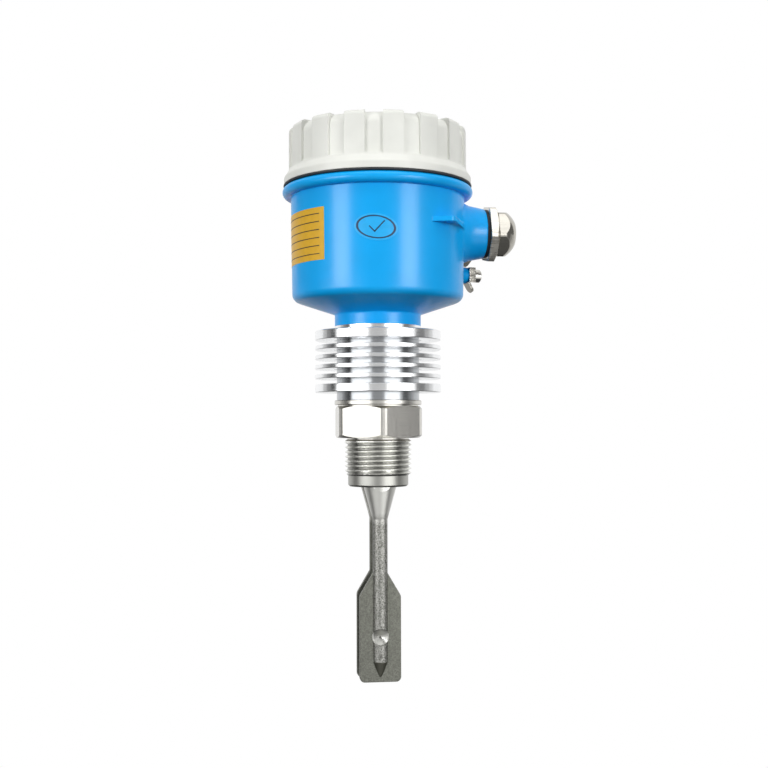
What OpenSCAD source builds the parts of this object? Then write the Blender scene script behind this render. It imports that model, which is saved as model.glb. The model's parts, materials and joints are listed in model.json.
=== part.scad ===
// Tuning fork level switch with a finned cooling spacer and a round screw-cap housing.
// Millimetres. The origin is on the main axis, at the underside of the hexagon.
// +Z points up to the cover, +X along the cable gland, and the fork's tines lie at -Y and +Y.

/* [Process connection] */
// Outside diameter of the process thread
thread_d = 33.2; // [31:0.1:36]
// Length of the threaded nose under the hexagon
thread_len = 18.5; // [15:0.5:24]
// Length of the smooth run-out between the hexagon and the thread
runout_len = 1.5; // [0.8:0.1:3]
// How much smaller in radius the run-out is than the thread
runout_depth = 1.2; // [0.6:0.1:1.4]
// Gap between the thread and the sealing face under the hexagon
seat_relief = 0.4; // [0.2:0.1:1]
// Depth of the groove inside the sealing face
seat_relief_depth = 0.6; // [0.3:0.1:1.5]
// Chamfer at the thread's lower end
thread_chamfer = 1.2; // [0.5:0.1:1.8]
// Width of the hexagon across its flats
hex_af = 41; // [39:0.5:46]
// Height of the hexagon
hex_h = 15.7; // [12:0.1:20]
// How far the hexagon's corners are turned down, in radius
hex_corner_cut = 0.85; // [0.3:0.05:1.5]
// Slope of the chamfers on the hexagon's two ends
hex_chamfer_angle = 30; // [20:1:40]
// Radius of the smooth neck between the hexagon and the collar
collar_neck_r = 20; // [18:0.1:20.4]
// Height of the smooth neck between the hexagon and the collar
collar_gap = 0.6; // [0.4:0.1:2]
// Radius of the collar that the spacer sits on
collar_r = 21.7; // [21:0.1:24]
// Height of the collar that the spacer sits on
collar_h = 2.3; // [1.5:0.1:4]
// Radius of the passage for the sensor leads through the nipple
nipple_bore_r = 11.5; // [11:0.1:12.2]

/* [Fork] */
// How much smaller in radius the fork's head is than the thread
head_step = 1.6; // [1.2:0.1:2.5]
// Length of the fork's round head below the thread
head_len = 5.5; // [4.5:0.1:8]
// Chamfer at the lower edge of the fork's head
head_chamfer = 0.8; // [0.3:0.1:1.2]
// Thickness of the diaphragm that closes the head
diaphragm_t = 2.5; // [1.5:0.1:3]
// Length of the weld register that enters the nipple
register_len = 3; // [2:0.1:5]
// Wall of the weld register
register_wall = 1.55; // [1:0.05:1.8]
// Gap between the tines' flat inner faces
tine_gap = 10; // [8:0.1:10.4]
// Length of the tines, from the head's face to the tips
tine_len = 95.5; // [85:0.5:115]
// Radius of the tines' round ridge
ridge_r = 3.7; // [3.2:0.1:4.2]
// Distance of the ridge's centre from the flat inner face
ridge_offset = 1.7; // [1:0.1:2.2]
// Radius of the cone at a tine's root
root_r = 8.1; // [6.5:0.1:8.3]
// Length of the cone at a tine's root
root_len = 16; // [10:0.5:20]
// Width of the paddle
blade_w = 20.4; // [17:0.1:24]
// Thickness of the paddle
blade_t = 2.6; // [2:0.1:3.4]
// Length of the paddle's parallel part, down to the tip
blade_len = 42; // [38:0.5:50]
// Length of the paddle's sloping shoulders
shoulder_len = 11; // [8:0.5:14]
// Rounding of the shoulders' outer corners
shoulder_r = 4; // [2:0.5:6]
// Rounding of the paddle's lower corners
blade_corner_r = 2.5; // [1.5:0.5:6]
// Length of the ridge's pointed end
point_len = 10; // [8:0.5:16]
// Diameter of the tuning spot that is drilled into the ridge
spot_d = 8.2; // [5:0.1:8.6]
// Distance of the tuning spot's centre from the tip
spot_up = 22.1; // [18:0.1:26]
// Thickness of metal left under the drill's point
spot_floor = 0.6; // [0.4:0.1:1]
// Half angle of the drill's point
spot_point_angle = 59; // [58:1:65]

/* [Sensor stack] */
// Radius of the stud that clamps the stack
stud_r = 3; // [2.5:0.1:3.5]
// Outside radius of the stack's rings
stack_r = 8; // [7:0.1:8.1]
// Thickness of an insulating ring
insulator_t = 1.5; // [1:0.1:2]
// Thickness of a piezo ring
piezo_t = 2.5; // [2:0.1:3]
// Thickness of an electrode
electrode_t = 0.3; // [0.2:0.05:0.4]
// Width of an electrode's solder tab
tab_w = 2; // [1.6:0.1:2.4]
// Thickness of the pressure washer
pressure_washer_t = 2.5; // [2:0.1:3]
// Height of the clamp nut
clamp_nut_h = 5; // [4:0.1:6]
// Width of the clamp nut across its flats
clamp_nut_af = 10; // [9:0.1:11]
// Length of stud that shows above the clamp nut
stud_proud = 1.5; // [0.5:0.1:2.5]
// Radius of a sensor lead
lead_r = 0.5; // [0.4:0.05:0.55]
// Distance of a sensor lead from the main axis
lead_orbit = 8.95; // [8.8:0.05:9.2]

/* [Cooling spacer] */
// Radius of the spacer's fins and end plates
fin_r = 31.4; // [28:0.1:36]
// Radius of the spacer's core
core_r = 20.6; // [19:0.1:23]
// Thickness of a fin
fin_t = 2.1; // [1.5:0.1:2.6]
// Gap between two fins
fin_gap = 2.7; // [2:0.1:3.4]
// Number of thin fins
fin_count = 4; // [2:1:6]
// Thickness of the lower end plate
lower_plate_t = 4; // [3:0.1:6]
// Thickness of the upper end plate
upper_plate_t = 4.6; // [3:0.1:6]
// Length of core under the lower end plate
spacer_foot = 3.9; // [2:0.1:6]
// Length of core above the upper end plate
spacer_neck = 2.5; // [1.5:0.1:4]
// Edge break on the fins and plates
fin_chamfer = 0.3; // [0.1:0.05:0.5]
// Radius of the passage for the sensor leads through the spacer
spacer_bore_r = 11; // [10.5:0.1:11.5]
// Wall of the spigots at the spacer's two ends
spigot_wall = 4; // [3:0.1:4.4]
// Length of the spigots
spigot_len = 10.3; // [8:0.1:11.5]
// Radius of an O-ring's section
oring_r = 0.9; // [0.7:0.05:1]
// Distance of an O-ring's groove from the spigot's shoulder
oring_back = 3.5; // [2.5:0.1:5]

/* [Housing] */
// Radius of the housing's neck, and of the spacer's end below it
neck_r = 21.5; // [20.5:0.1:24]
// Rounding between the housing's neck and its underside
neck_fillet_r = 1; // [0.5:0.1:2]
// Height of the housing's neck
neck_h = 5.9; // [4:0.1:9]
// Slope of the housing's conical underside
cone_angle = 18.4; // [12:0.2:24]
// Radius of the body under the bead
body_r_high = 43.4; // [40:0.1:47]
// How much narrower the body is at its lower edge, in radius
body_taper = 0.7; // [0.2:0.1:1.5]
// Wall of the body round the wiring compartment
body_wall = 5.7; // [5:0.1:6.2]
// Rounding of the body's lower edge
body_edge_r = 4; // [2:0.5:6]
// Height of the housing from its neck's end to the bead's underside
body_h = 64.1; // [58:0.1:70]
// How far the bead under the cover stands out from the body
bead_out = 4.2; // [3.4:0.1:6]
// Thickness of the bead
bead_t = 5.2; // [4.2:0.1:6]
// Wall of the threaded rim that the cover screws onto
rim_wall = 3.6; // [3:0.1:4]
// Height of the threaded rim
rim_h = 12.5; // [10:0.1:15]
// Height of the compartment's floor above the neck's end
floor_up = 16.5; // [15:0.1:18]

/* [Cover] */
// Height of the cover
cover_h = 28.2; // [26:0.1:32]
// How far the cover's lower edge lies inside the bead's edge
cover_rim_inset = 0.8; // [0.6:0.1:1.4]
// How far the cover's lobes lie inside its lower edge
lobe_inset = 2.4; // [1.8:0.1:2.6]
// Height of the upright band at the cover's lower edge
cover_band_h = 3.4; // [2:0.1:4.5]
// Height of the cover's flared rim
cover_rim_h = 6.9; // [6:0.1:7.4]
// Rounding of the flared rim
cover_rim_round_r = 2; // [1:0.1:3]
// Rounding of the lobes' upper edge
lobe_edge_r = 2.4; // [1:0.1:3.5]
// Number of flutes round the cover
flute_count = 15; // [10:1:18]
// Width of a flute
flute_w = 8.4; // [6:0.1:9.5]
// Depth of a flute
flute_depth = 1.4; // [0.8:0.1:1.6]
// Height of the flutes' lower ends above the cover's edge
flute_up = 7.6; // [7.5:0.1:10]
// Rounding of the flutes' floor into the cover's top
flute_edge_r = 6; // [4:0.1:7]
// Direction of the first flute
flute_phase = 20.8; // [0:0.1:24]
// Thickness of the cover's top wall
cover_top_t = 4.2; // [3.5:0.1:6]
// How much narrower the space above the cover's thread is than the rim
thread_step = 1; // [0.5:0.1:2]
// Thickness of the cover's seal
seal_t = 1.2; // [0.8:0.1:2]
// How far the seal's edge lies inside the bead's edge
seal_inset = 0.5; // [0.2:0.1:0.6]

/* [Cable entries] */
// Height of the cable entries' axes above the hexagon
entry_z = 103; // [100:0.5:104]
// Direction of the blanked second entry, from the gland's direction
second_entry_angle = 35; // [34:0.5:45]
// Radius of an entry's boss at its end face
boss_r = 12.4; // [12.2:0.1:13]
// Radius of an entry's boss where it leaves the body
boss_root_r = 14; // [13.2:0.1:15]
// How far a boss's foot spreads sideways inside the body's wall
boss_spread = 10.4; // [8:0.1:10.6]
// How far a boss's foot reaches into the body's wall
boss_sink = 8.8; // [8.4:0.1:9.4]
// How far the edge of a boss's foot is broken
boss_foot_cut = 2.4; // [1:0.1:3]
// How far a boss's end face lies outside the body
boss_out = 10.6; // [9:0.1:14]
// Rounding of a boss's outer edge
boss_edge_r = 0.8; // [0.4:0.1:1.2]
// Radius of the entry thread
entry_r = 9.2; // [8.8:0.1:9.6]
// Thickness of an entry's sealing washer
entry_washer_t = 1.4; // [1:0.1:2]
// Radius of an entry's sealing washer
entry_washer_r = 12.2; // [11.6:0.1:12.6]
// How far an entry's threaded shank stops short of the compartment
shank_short = 3; // [1:0.1:5]
// Width of the gland body's hexagon across its flats
gland_af = 27; // [25.5:0.5:30]
// Height of the gland body's hexagon
gland_hex_h = 4; // [3:0.1:6]
// How far the gland's hexagons are turned, corner from level
gland_turn = 10; // [0:1:30]
// Radius of the gland's outer thread
gland_thread_r = 8.8; // [8.6:0.1:9.4]
// Length of gland thread that shows between hexagon and nut
gland_gap = 0.8; // [0.4:0.1:2]
// Width of the gland nut across its flats
gland_nut_af = 22; // [21:0.5:24]
// Height of the gland nut
gland_nut_h = 9.2; // [8.4:0.1:10]
// Thickness of the gland nut's end wall
gland_nut_wall = 3.4; // [2.8:0.1:4]
// Radius of the gland nut's domed end
gland_dome_r = 13.5; // [13.2:0.1:15]
// Radius of the flat face on the gland nut's dome
gland_face_r = 6.8; // [6.6:0.1:7.4]
// Radius of the gland nut's mouth
gland_mouth_r = 6; // [5.6:0.1:6.4]
// Thickness of the gland's slip ring
slip_ring_t = 1.2; // [0.8:0.1:1.4]
// Inside radius of the gland's slip ring
slip_ring_bore_r = 5.2; // [4.8:0.1:5.6]
// Radius of the rubber grommet
grommet_r = 7.1; // [6.8:0.1:7.4]
// Length of the rubber grommet
grommet_len = 8.4; // [6:0.1:9]
// Radius of the hole for the cable
cable_r = 4.5; // [3:0.1:4.7]
// Radius of the passage through the gland body
gland_bore_r = 6.2; // [5.6:0.1:6.4]
// Width of the blanking plug's hexagon across its flats
plug_af = 24; // [22:0.5:26]
// Height of the blanking plug's hexagon
plug_hex_h = 5; // [3:0.1:7]
// Height of the tie lug above the hexagon
lug_z = 104; // [100:0.5:108]
// Thickness of the tie lug
lug_t = 2.4; // [1.8:0.1:3]
// How far the tie lug's corner lies outside the body
lug_out = 7.6; // [6:0.1:9]
// Direction of the tie lug's corner
lug_angle = -51; // [-55:0.5:-47]
// Direction at which the tie lug leaves the body
lug_start_angle = -61; // [-66:0.5:-58]
// Radius of the hole in the tie lug
lug_hole_r = 1.5; // [1:0.1:1.6]

/* [Ground terminal] */
// Direction of the outer ground terminal
ground_angle = 17.5; // [15:0.5:20]
// Height of the outer ground terminal above the hexagon
ground_z = 83.6; // [82:0.1:84.4]
// Radius of the ground terminal's boss
ground_boss_r = 4.2; // [3.8:0.1:4.6]
// How far the ground boss's end face lies outside the body
ground_boss_out = 6.5; // [5:0.1:8]
// Height of the saddle
saddle_h = 7.6; // [7:0.1:8.4]
// Thickness of the saddle's sheet
saddle_t = 1.3; // [1:0.1:1.5]
// Depth of the saddle over its folded sides
saddle_depth = 3.4; // [2.6:0.1:4]
// Length of the saddle's bent tongue
tongue_len = 5.6; // [4.4:0.1:7]
// Width of the saddle's bent tongue
tongue_w = 5; // [4:0.1:6]
// Slope of the saddle's tongue, away from the housing
tongue_angle = 32; // [20:1:40]
// Radius of the ground screw
ground_screw_r = 2; // [1.6:0.1:2.2]
// Radius of the ground screw's head
ground_head_r = 3.4; // [3:0.1:3.8]
// Width of the ground screw's socket across its flats
socket_af = 3; // [2:0.1:3.4]
// Height of the ground screw's head
ground_head_h = 5.8; // [5:0.1:6.4]
// Thickness of the ground terminal's spring washer
spring_washer_t = 0.9; // [0.6:0.1:1.2]
// Depth of the ground screw in its boss
ground_screw_depth = 6; // [4:0.1:7]

/* [Electronics] */
// Gap between the electronics cup and the compartment's wall
cup_gap = 2; // [1:0.1:3]
// Height of the electronics cup
cup_h = 16; // [13:0.1:16.5]
// Height of the rim round the board
cup_rim_h = 2; // [1.8:0.1:3]
// Wall of the rim round the board
cup_rim_wall = 1.6; // [1.2:0.1:2]
// Depth of the pocket where the leads are soldered
lead_pocket = 3; // [2:0.1:5]
// Thickness of the circuit board
board_t = 1.6; // [1.2:0.1:1.8]
// Distance of a module screw from the electronics cup's edge
module_screw_inset = 8; // [7:0.1:9]
// Radius of a module screw
module_screw_r = 1.7; // [1.4:0.1:1.9]
// Depth of a module screw in the housing's floor
module_screw_depth = 4.5; // [3:0.1:5]
// Radius of a module screw's head
module_head_r = 3; // [2.6:0.1:3.2]
// Height of a module screw's head
module_head_h = 2.2; // [1.8:0.1:2.6]
// Number of terminals
terminal_count = 4; // [3:1:5]
// Distance between two terminals
terminal_pitch = 7.5; // [7:0.1:8]
// Depth of the terminal block, front to back
terminal_d = 12; // [10:0.1:13]
// Height of the terminal block
terminal_h = 10; // [9:0.1:11]
// Distance of the terminal block's middle from the main axis
terminal_back = 12; // [10:0.1:14]
// Radius of a terminal screw
terminal_screw_r = 2; // [1.6:0.1:2.2]
// Height of a terminal screw
terminal_screw_h = 5; // [4:0.1:6]
// How deep a terminal screw's head sits in its well
terminal_well = 1.2; // [0.6:0.1:2]
// Width of a conductor opening
conductor_w = 4; // [3:0.1:4.5]
// Height of a conductor opening
conductor_h = 4; // [3:0.1:4.4]
// Depth of a conductor opening
conductor_depth = 4; // [3:0.1:4.4]
// Width of the slot in a small screw
slot_w = 0.7; // [0.5:0.1:1]
// Depth of the slot in a small screw
slot_depth = 1; // [0.6:0.1:1.2]
// Length of the mode switch's body
switch_l = 9; // [8:0.1:10]
// Width of the mode switch's body
switch_w = 6.4; // [6:0.1:7]
// Height of the mode switch's body
switch_h = 3.6; // [3:0.1:4.5]
// Width of a mode slider
slider_w = 1.4; // [1.2:0.1:1.6]
// Length of a mode slider
slider_l = 1.6; // [1.4:0.1:1.8]
// Height of a mode slider above the switch's body
slider_proud = 0.9; // [0.6:0.1:1.2]
// Travel of a mode slider
slider_travel = 2; // [1.6:0.1:2.2]
// Depth of a mode slider's slot
slider_depth = 1.5; // [1:0.1:2]
// Distance between the two mode sliders
slider_pitch = 4; // [3.6:0.1:4.4]
// Width and length of the trimmer's body
trimmer_w = 7; // [6.4:0.1:8]
// Height of the trimmer's body
trimmer_h = 4; // [3.4:0.1:5]
// Radius of the trimmer's rotor
rotor_r = 2.4; // [2:0.1:2.6]
// Depth of the trimmer's rotor in its body
rotor_depth = 2; // [1.5:0.1:2.5]
// Height of the trimmer's rotor above its body
rotor_proud = 0.6; // [0.3:0.1:1]
// Distance of the settings from the main axis
settings_front = 12; // [10:0.1:14]
// Distance of the switch and the trimmer from the middle plane
settings_side = 9; // [8:0.1:11]
// Radius of an indicator lamp
led_r = 1.5; // [1.2:0.1:1.8]
// Height of an indicator lamp
led_h = 4; // [3:0.1:5]
// Distance of the indicator lamps from the board's edge
led_inset = 11; // [9:0.1:13]
// Distance of an indicator lamp from the middle plane
led_side = 4; // [3:0.1:5]
// Height of the inner ground terminal above the hexagon
inner_ground_z = 103; // [100:0.5:108]
// Radius of the inner ground terminal's pad
inner_pad_r = 4.6; // [4:0.1:5]
// Height of the inner ground terminal's pad on the wall
inner_pad_h = 4; // [3.5:0.1:5]
// Thickness of the inner ground terminal's clamp washer
clamp_washer_t = 1.2; // [0.8:0.1:1.5]

/* [Clearances] */
// Radial clearance of a fixed screw or spigot in its hole
fit_gap = 0.05; // [0.02:0.01:0.1]
// Radial clearance of a piece that turns on a thread
run_gap = 0.06; // [0.02:0.01:0.1]
// Clearance round a piece that slides or lies loosely
loose_gap = 0.3; // [0.2:0.05:0.4]

/* [Hidden] */
$fn = 96;

// Spare length that a cutting shape has past the face that it cuts
over = 1;
// Segments of an arc that is drawn as points
arc_steps = 8;

// Heights on the main axis, from the fork's tips up
head_top = -thread_len;
head_face = head_top - head_len;
tip_z = head_face - tine_len;
diaphragm_top = head_face + diaphragm_t;
collar_z = hex_h + collar_gap;
spacer_z = collar_z + collar_h;
lower_plate_z = spacer_z + spacer_foot;
first_fin_z = lower_plate_z + lower_plate_t + fin_gap;
fin_pitch = fin_t + fin_gap;
upper_plate_z = first_fin_z + fin_count * fin_pitch;
spacer_neck_z = upper_plate_z + upper_plate_t;
housing_z = spacer_neck_z + spacer_neck;
cone_z = housing_z + neck_h;
floor_z = housing_z + floor_up;
bead_z = housing_z + body_h;
bead_top = bead_z + bead_t;
rim_top = bead_top + rim_h;
cover_z = bead_top + seal_t;
cover_top = cover_z + cover_h;

// Radii that follow from the thread and the hexagon
thread_r = thread_d / 2;
head_r = thread_r - head_step;
register_r = nipple_bore_r - fit_gap;
head_space_r = register_r - register_wall;
hex_turned_r = hex_af / 2 / cos(30) - hex_corner_cut;
spigot_r = spacer_bore_r + spigot_wall;
socket_r = spigot_r + fit_gap;
socket_depth = spigot_len + loose_gap;

// Radii that follow from the body
body_r_low = body_r_high - body_taper;
cavity_r = body_r_low - body_wall;
bead_r = body_r_high + bead_out;
rim_r = cavity_r + rim_wall;
rim_bore_r = rim_r + run_gap;
seal_r = bead_r - seal_inset;
cover_rim_r = bead_r - cover_rim_inset;
lobe_r = cover_rim_r - lobe_inset;
cover_space_r = rim_r - thread_step;
boss_end = body_r_high + boss_out;
lug_reach = body_r_high + lug_out;
ground_boss_end = body_r_high + ground_boss_out;
cup_r = cavity_r - cup_gap;
module_screw_orbit = cup_r - module_screw_inset;

// Heights of the sensor stack, ring on ring
lower_insulator_z = diaphragm_top;
drive_electrode_z = lower_insulator_z + insulator_t;
drive_piezo_z = drive_electrode_z + electrode_t;
common_electrode_z = drive_piezo_z + piezo_t;
pickup_piezo_z = common_electrode_z + electrode_t;
pickup_electrode_z = pickup_piezo_z + piezo_t;
upper_insulator_z = pickup_electrode_z + electrode_t;
pressure_washer_z = upper_insulator_z + insulator_t;
clamp_nut_z = pressure_washer_z + pressure_washer_t;
stud_top = clamp_nut_z + clamp_nut_h + stud_proud;
drive_lead_angle = 0;
common_lead_angle = 120;
pickup_lead_angle = 240;

// Distances along a cable entry, from the main axis
entry_washer_end = boss_end + entry_washer_t;
gland_hex_end = entry_washer_end + gland_hex_h;
gland_nut_start = gland_hex_end + gland_gap;
gland_nut_end = gland_nut_start + gland_nut_h;
gland_dome_centre = gland_nut_end - sqrt(pow(gland_dome_r, 2) - pow(gland_face_r, 2));
slip_ring_end = gland_nut_end - gland_nut_wall - fit_gap;
slip_ring_start = slip_ring_end - slip_ring_t;
gland_thread_end = slip_ring_start - fit_gap;
grommet_start = gland_thread_end - grommet_len;
shank_start = cavity_r + shank_short;

// Distances along the ground terminal, from the main axis
saddle_end = ground_boss_end + saddle_depth;
spring_washer_start = ground_boss_end + saddle_t;
ground_head_start = spring_washer_start + spring_washer_t;

// Heights of the electronics
cup_top = floor_z + cup_h;
board_top = cup_top + board_t;
terminal_w = terminal_count * terminal_pitch;
board_r = cup_r - cup_rim_wall - loose_gap;
led_front = board_r - led_inset;
pad_face = cavity_r - inner_pad_h;

// Colours as the photo shows them
steel = [0.72, 0.72, 0.70];
cast_steel = [0.50, 0.50, 0.49];
bright_aluminium = [0.88, 0.89, 0.90];
blue_paint = [0.10, 0.60, 0.88];
white_paint = [0.90, 0.90, 0.88];
black_rubber = [0.05, 0.06, 0.08];
nickel = [0.80, 0.78, 0.74];

// Points of an outline whose corners are [x, y, rounding]
function corner_arc(before, corner, after, r) =
  let (
    to_before = (before - corner) / norm(before - corner),
    to_after = (after - corner) / norm(after - corner),
    half = acos(max(-1, min(1, to_before * to_after))) / 2,
    middle = (to_before + to_after) / norm(to_before + to_after),
    centre = corner + middle * r / sin(half),
    start = corner + to_before * r / tan(half) - centre,
    finish = corner + to_after * r / tan(half) - centre,
    a = atan2(start.y, start.x),
    turn = atan2(start.x * finish.y - start.y * finish.x, start * finish)
  )
  [for (i = [0:arc_steps]) centre + r * [cos(a + turn * i / arc_steps), sin(a + turn * i / arc_steps)]];

function point(c) = [c.x, c.y];

function rounded_outline(corners) =
  let (n = len(corners))
  [for (i = [0:n - 1])
    each corners[i].z == 0
      ? [point(corners[i])]
      : corner_arc(
          point(corners[(i + n - 1) % n]), point(corners[i]), point(corners[(i + 1) % n]), corners[i].z
        )];

// Shapes that repeat
module ring(outer_r, inner_r, z, h) {
  translate([0, 0, z])
    difference() {
      cylinder(r = outer_r, h = h);
      translate([0, 0, -over]) cylinder(r = inner_r, h = h + 2 * over);
    }
}

module chamfered_disc(r, z, h, chamfer) {
  rotate_extrude()
    polygon([
      [0, z], [r - chamfer, z], [r, z + chamfer],
      [r, z + h - chamfer], [r - chamfer, z + h], [0, z + h]
    ]);
}

module hexagon(af, h) {
  cylinder(d = af / cos(30), h = h, $fn = 6);
}

// Hexagon prism with turned corners and a cone on each chosen end
module turned_hexagon(af, h, turned_r, lower_chamfer = true, upper_chamfer = true) {
  drop = (turned_r - af / 2) * tan(hex_chamfer_angle);
  intersection() {
    hexagon(af, h);
    rotate_extrude()
      polygon([
        [0, 0],
        [lower_chamfer ? af / 2 : turned_r, 0],
        [turned_r, lower_chamfer ? drop : 0],
        [turned_r, upper_chamfer ? h - drop : h],
        [upper_chamfer ? af / 2 : turned_r, h],
        [0, h]
      ]);
  }
}

// Places its children on a radial axis: their +Z then points away from the main axis
module radial(angle, z) {
  rotate([0, 0, angle]) translate([0, 0, z]) rotate([0, 90, 0]) children();
}

// Process connection: threaded nose, hexagon and collar, turned from one bar
module process_nipple() {
  groove_h = runout_len / 2 + seat_relief_depth;
  color(steel)
    difference() {
      union() {
        rotate_extrude()
          polygon([
            [0, head_top],
            [thread_r - thread_chamfer, head_top],
            [thread_r, head_top + thread_chamfer],
            [thread_r, -runout_len],
            [thread_r - runout_depth, -runout_len / 2],
            [thread_r - runout_depth, over],
            [0, over]
          ]);
        rotate([0, 0, 30]) turned_hexagon(hex_af, hex_h, hex_turned_r);
        cylinder(r = collar_neck_r, h = collar_z + over);
        chamfered_disc(collar_r, collar_z, collar_h, fin_chamfer);
      }
      ring(thread_r + seat_relief, thread_r - runout_depth, -runout_len / 2, groove_h);
      translate([0, 0, head_top - over]) cylinder(r = nipple_bore_r, h = spacer_z - head_top + 2 * over);
      translate([0, 0, spacer_z - socket_depth]) cylinder(r = socket_r, h = socket_depth + over);
    }
}

// Outline of a paddle with its shoulders, seen from the front
module paddle_outline() {
  half_w = blade_w / 2;
  shoulder_z = tip_z + blade_len;
  polygon(rounded_outline([
    [-half_w, tip_z, blade_corner_r],
    [half_w, tip_z, blade_corner_r],
    [half_w, shoulder_z, shoulder_r],
    [0, shoulder_z + shoulder_len * half_w / (half_w - ridge_r), 0],
    [-half_w, shoulder_z, shoulder_r]
  ]));
}

// One tine, on the +Y side
module tine() {
  inner_face = tine_gap / 2;
  ridge_y = inner_face + ridge_offset;
  root_z = head_face - root_len;
  point_z = tip_z + point_len;
  reach = 2 * root_r;
  spot_cone_h = spot_d / 2 / tan(spot_point_angle);
  difference() {
    union() {
      intersection() {
        union() {
          translate([0, ridge_y, root_z]) cylinder(r1 = ridge_r, r2 = root_r, h = root_len);
          translate([0, ridge_y, point_z]) cylinder(r = ridge_r, h = root_z - point_z);
          translate([0, ridge_y, tip_z]) cylinder(r1 = 0, r2 = ridge_r, h = point_len);
        }
        translate([-reach, inner_face, tip_z]) cube([2 * reach, reach, tine_len]);
        translate([0, 0, tip_z]) cylinder(r = head_r - head_chamfer, h = tine_len);
      }
      translate([0, inner_face + blade_t, 0]) rotate([90, 0, 0]) linear_extrude(blade_t) paddle_outline();
    }
    translate([0, inner_face + spot_floor, tip_z + spot_up])
      rotate([-90, 0, 0]) {
        cylinder(d1 = 0, d2 = spot_d, h = spot_cone_h);
        translate([0, 0, spot_cone_h]) cylinder(d = spot_d, h = reach);
      }
  }
}

// Fork: head, diaphragm, stud and both tines in one piece
module fork() {
  color(cast_steel)
    union() {
      rotate_extrude()
        polygon([
          [0, head_face],
          [head_r - head_chamfer, head_face],
          [head_r, head_face + head_chamfer],
          [head_r, head_top],
          [register_r, head_top],
          [register_r, head_top + register_len],
          [head_space_r, head_top + register_len],
          [head_space_r, diaphragm_top],
          [stud_r, diaphragm_top],
          [stud_r, stud_top],
          [0, stud_top]
        ]);
      tine();
      mirror([0, 1, 0]) tine();
    }
}

// Sensor stack: rings clamped on the fork's stud
module stack_ring(z, h) {
  ring(stack_r, stud_r + fit_gap, z, h);
}

module electrode(z, angle) {
  tab_r = lead_orbit + lead_r;
  union() {
    stack_ring(z, electrode_t);
    rotate([0, 0, angle])
      translate([stack_r - over, -tab_w / 2, z]) cube([tab_r - stack_r + over, tab_w, electrode_t]);
  }
}

module lower_insulator() { color("Ivory") stack_ring(lower_insulator_z, insulator_t); }
module drive_electrode() { color("Gold") electrode(drive_electrode_z, drive_lead_angle); }
module drive_piezo() { color("DarkKhaki") stack_ring(drive_piezo_z, piezo_t); }
module common_electrode() { color("Gold") electrode(common_electrode_z, common_lead_angle); }
module pickup_piezo() { color("DarkKhaki") stack_ring(pickup_piezo_z, piezo_t); }
module pickup_electrode() { color("Gold") electrode(pickup_electrode_z, pickup_lead_angle); }
module upper_insulator() { color("Ivory") stack_ring(upper_insulator_z, insulator_t); }
module pressure_washer() { color(steel) stack_ring(pressure_washer_z, pressure_washer_t); }

module clamp_nut() {
  color(steel)
    translate([0, 0, clamp_nut_z])
      difference() {
        hexagon(clamp_nut_af, clamp_nut_h);
        translate([0, 0, -over]) cylinder(r = stud_r + fit_gap, h = clamp_nut_h + 2 * over);
      }
}

// Leads from the electrodes' tabs up to the electronics
module lead(z, angle) {
  rotate([0, 0, angle]) translate([lead_orbit, 0, z]) cylinder(r = lead_r, h = floor_z + lead_pocket - z);
}

module sensor_leads() {
  color("Crimson") {
    lead(drive_piezo_z, drive_lead_angle);
    lead(pickup_piezo_z, common_lead_angle);
    lead(upper_insulator_z, pickup_lead_angle);
  }
}

// Cooling spacer: finned tube with a spigot at each end
module spigot(z, oring_z) {
  groove_w = 2 * oring_r + loose_gap;
  difference() {
    translate([0, 0, z]) cylinder(r = spigot_r, h = spigot_len + over);
    ring(spigot_r + over, spigot_r - 2 * oring_r, oring_z - groove_w / 2, groove_w);
  }
}

module cooling_spacer() {
  color(bright_aluminium)
    difference() {
      union() {
        translate([0, 0, spacer_z]) cylinder(r = core_r, h = housing_z - spacer_z - spacer_neck / 2);
        chamfered_disc(fin_r, lower_plate_z, lower_plate_t, fin_chamfer);
        for (i = [0:fin_count - 1]) chamfered_disc(fin_r, first_fin_z + i * fin_pitch, fin_t, fin_chamfer);
        chamfered_disc(fin_r, upper_plate_z, upper_plate_t, fin_chamfer);
        translate([0, 0, spacer_neck_z]) cylinder(r = neck_r, h = spacer_neck);
        spigot(spacer_z - spigot_len, spacer_z - oring_back);
        translate([0, 0, housing_z + spigot_len]) mirror([0, 0, 1]) spigot(0, spigot_len - oring_back);
      }
      translate([0, 0, spacer_z - spigot_len - over])
        cylinder(r = spacer_bore_r, h = housing_z - spacer_z + 2 * (spigot_len + over));
    }
}

module spigot_seal(z) {
  rotate_extrude() translate([spigot_r - oring_r, z]) circle(r = oring_r, $fn = 32);
}

module lower_spacer_seal() { color(black_rubber) spigot_seal(spacer_z - oring_back); }
module upper_spacer_seal() { color(black_rubber) spigot_seal(housing_z + oring_back); }

// Housing: cast body with two entry bosses, a ground boss and a tie lug
module housing_outline() {
  cone_run = body_r_low - neck_r;
  union() {
    polygon(rounded_outline([
      [0, housing_z, 0],
      [neck_r, housing_z, 0],
      [neck_r, cone_z, neck_fillet_r],
      [body_r_low, cone_z + cone_run * tan(cone_angle), body_edge_r],
      [body_r_high, bead_z, 0],
      [0, bead_z, 0]
    ]));
    translate([0, bead_z]) square([bead_r - bead_t / 2, bead_t]);
    translate([bead_r - bead_t / 2, bead_z + bead_t / 2]) circle(d = bead_t);
    polygon([
      [0, bead_z], [rim_r, bead_z], [rim_r, rim_top - loose_gap], [rim_r - loose_gap, rim_top], [0, rim_top]
    ]);
  }
}

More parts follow.
